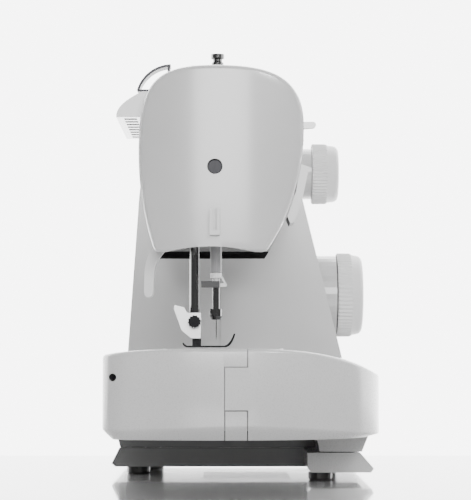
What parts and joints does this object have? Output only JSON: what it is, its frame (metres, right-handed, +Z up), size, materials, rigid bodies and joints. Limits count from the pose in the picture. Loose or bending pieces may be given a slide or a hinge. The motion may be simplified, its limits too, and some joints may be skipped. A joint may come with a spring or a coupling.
{
  "type": "sewing machine",
  "caption": "Domestic sewing machine with a free arm, a slide-off extension table with a swing-out box, stitch dials at the front and a carrying ledge at the back.",
  "frame": {"origin": "centre of the footprint, on the surface that the feet rest on", "axes": "+X from the needle end to the handwheel, +Y away from the user, +Z up"},
  "size_m": [0.37, 0.2, 0.3042],
  "materials": {
    "casing_white": "smooth satin white",
    "table_white": "smooth satin white",
    "dial_white": "satin off-white",
    "grey_plastic": "satin grey",
    "dark_plastic": "satin near-black",
    "clear_plastic": "smoky clear",
    "chrome": "polished",
    "steel": "ground steel",
    "dark_steel": "blackened steel",
    "aluminium": "as cast",
    "rubber": "moulded"
  },
  "bodies": {
    "body": {"front_casing": "casing_white", "rear_casing": "casing_white", "face_cover": "casing_white", "face_cover_screw": "dark_steel", "thread_cutter": "dial_white", "carrying_handle": "casing_white", "bottom_casing": "table_white", "foot_front_left": "rubber", "foot_rear_left": "rubber", "foot_front_right": "rubber", "foot_rear_right": "rubber", "free_arm_casing": "table_white", "needle_plate": "steel", "main_frame": "aluminium", "motor": "dark_plastic", "motor_belt": "rubber", "timing_belt": "rubber", "bobbin_case": "dark_plastic", "presser_spring": "steel", "upper_thread_guide": "dark_steel", "winding_stud": "chrome", "spool_tray": "grey_plastic", "spool_pin": "dial_white", "pattern_dial_collar": "casing_white", "stitch_length_collar": "casing_white", "power_inlet": "dark_plastic", "switch_housing": "dark_plastic"},
    "main_shaft": {"upper_shaft": "steel", "drive_wheel": "dark_plastic", "handwheel": "casing_white"},
    "lower_drive": {"lower_shaft": "steel"},
    "hook": {"rotary_hook": "steel"},
    "bobbin_body": {"bobbin": "clear_plastic"},
    "motor_rotor": {"motor_pulley": "steel"},
    "needle_swing": {"needle_bar_frame": "aluminium", "threader_sleeve": "grey_plastic"},
    "needle_slide": {"needle_bar": "chrome", "connecting_rod": "steel", "needle_clamp": "chrome", "needle": "chrome"},
    "threader": {"threader_rod": "dial_white", "threader_arm": "dark_plastic"},
    "lifter": {"presser_lifter": "dial_white"},
    "presser": {"presser_bar": "chrome", "presser_ankle": "steel", "presser_screw": "dark_steel"},
    "foot": {"presser_foot": "dark_steel"},
    "take_up": {"take_up_lever": "chrome"},
    "tension": {"tension_dial": "dial_white"},
    "pattern": {"pattern_dial": "dial_white"},
    "length": {"stitch_length_dial": "dial_white"},
    "reverse": {"reverse_lever": "dial_white"},
    "table": {"extension_table": "table_white"},
    "compartment": {"accessory_compartment": "table_white"},
    "latch": {"compartment_latch": "table_white"},
    "winder": {"winder_spindle": "steel"},
    "cap": {"spool_cap": "dial_white"},
    "cover": {"bobbin_cover": "clear_plastic"},
    "feed": {"feed_dog": "steel"},
    "rocker": {"power_switch": "dark_plastic"}
  },
  "joints": [
    {"name": "handwheel_turn", "type": "hinge", "parent": "body", "child": "main_shaft", "pos_m": [0.164, 0.018, 0.248], "axis": [1, 0, 0], "continuous": true},
    {"name": "lower_shaft_turn", "type": "hinge", "parent": "body", "child": "lower_drive", "pos_m": [0, 0.022, 0.06], "axis": [1, 0, 0], "continuous": true},
    {"name": "hook_turn", "type": "hinge", "parent": "body", "child": "hook", "pos_m": [-0.128, 0.0015, 0.06], "axis": [0, 0, 1], "continuous": true},
    {"name": "bobbin_turn", "type": "hinge", "parent": "body", "child": "bobbin_body", "pos_m": [-0.128, 0.0015, 0.08], "axis": [0, 0, 1], "continuous": true},
    {"name": "motor_turn", "type": "hinge", "parent": "body", "child": "motor_rotor", "pos_m": [0.133, -0.01, 0.135], "axis": [1, 0, 0], "continuous": true},
    {"name": "needle_swing_hinge", "type": "hinge", "parent": "body", "child": "needle_swing", "pos_m": [-0.128, 0.018, 0.276], "axis": [0, 1, 0], "range_deg": [-1.1, 1.1]},
    {"name": "needle_bar_slide", "type": "slide", "parent": "needle_swing", "child": "needle_slide", "axis": [0, 0, 1], "range_m": [-0.0115, 0.007]},
    {"name": "threader_slide", "type": "slide", "parent": "needle_swing", "child": "threader", "axis": [0, 0, 1], "range_m": [-0.018, 0], "stiffness_N_per_m": 20, "springref_m": 0.003},
    {"name": "presser_lifter_hinge", "type": "hinge", "parent": "body", "child": "lifter", "pos_m": [-0.128, 0.052, 0.187], "axis": [0, 1, 0], "range_deg": [-50, 0]},
    {"name": "presser_bar_slide", "type": "slide", "parent": "body", "child": "presser", "axis": [0, 0, 1], "range_m": [0, 0.0061], "deforming": ["presser_spring"]},
    {"name": "presser_foot_tilt", "type": "hinge", "parent": "presser", "child": "foot", "pos_m": [-0.128, 0.0315, 0.1026], "axis": [1, 0, 0], "range_deg": [-2, 2]},
    {"name": "take_up_hinge", "type": "hinge", "parent": "body", "child": "take_up", "pos_m": [-0.14, 0, 0.222], "axis": [1, 0, 0], "range_deg": [-14, 14]},
    {"name": "tension_dial_turn", "type": "hinge", "parent": "body", "child": "tension", "pos_m": [-0.108, -0.0352, 0.245], "axis": [1, 0, 0], "range_deg": [-150, 150]},
    {"name": "pattern_dial_turn", "type": "hinge", "parent": "body", "child": "pattern", "pos_m": [0.08, -0.08, 0.1415], "axis": [0, 1, 0], "continuous": true},
    {"name": "stitch_length_dial_turn", "type": "hinge", "parent": "body", "child": "length", "pos_m": [0.08, -0.06, 0.2416], "axis": [0, 1, 0], "range_deg": [-150, 150]},
    {"name": "reverse_lever_hinge", "type": "hinge", "parent": "body", "child": "reverse", "pos_m": [0.134, -0.055, 0.128], "axis": [1, 0, 0], "range_deg": [0, 12], "stiffness_Nm_per_rad": 0.3, "springref_deg": -5.73},
    {"name": "table_slide", "type": "slide", "parent": "body", "child": "table", "axis": [-1, 0, 0], "range_m": [0, 0.2]},
    {"name": "compartment_hinge", "type": "hinge", "parent": "table", "child": "compartment", "pos_m": [-0.006, -0.091, 0.04], "axis": [0, 0, 1], "range_deg": [0, 60]},
    {"name": "compartment_latch_press", "type": "slide", "parent": "table", "child": "latch", "axis": [1, 0, 0], "range_m": [0, 0.002], "stiffness_N_per_m": 600, "springref_m": -0.001},
    {"name": "winder_spindle_turn", "type": "hinge", "parent": "body", "child": "winder", "pos_m": [0.121, -0.005, 0.29], "axis": [0, 0, 1], "continuous": true},
    {"name": "spool_cap_slide", "type": "slide", "parent": "body", "child": "cap", "axis": [1, 0, 0], "range_m": [0, 0.085]},
    {"name": "bobbin_cover_lift", "type": "slide", "parent": "body", "child": "cover", "axis": [0, 0, 1], "range_m": [0, 0.006]},
    {"name": "feed_dog_slide", "type": "slide", "parent": "body", "child": "feed", "axis": [0, 1, 0], "range_m": [-0.002, 0.002]},
    {"name": "power_switch_rock", "type": "hinge", "parent": "body", "child": "rocker", "pos_m": [0.157, -0.008, 0.052], "axis": [0, 1, 0], "range_deg": [-16, 0]}
  ],
  "couplings": [
    {"joint": "lower_shaft_turn", "follows": "handwheel_turn", "ratio": 1},
    {"joint": "hook_turn", "follows": "handwheel_turn", "ratio": -2},
    {"joint": "motor_turn", "follows": "handwheel_turn", "ratio": 4.2857}
  ]
}
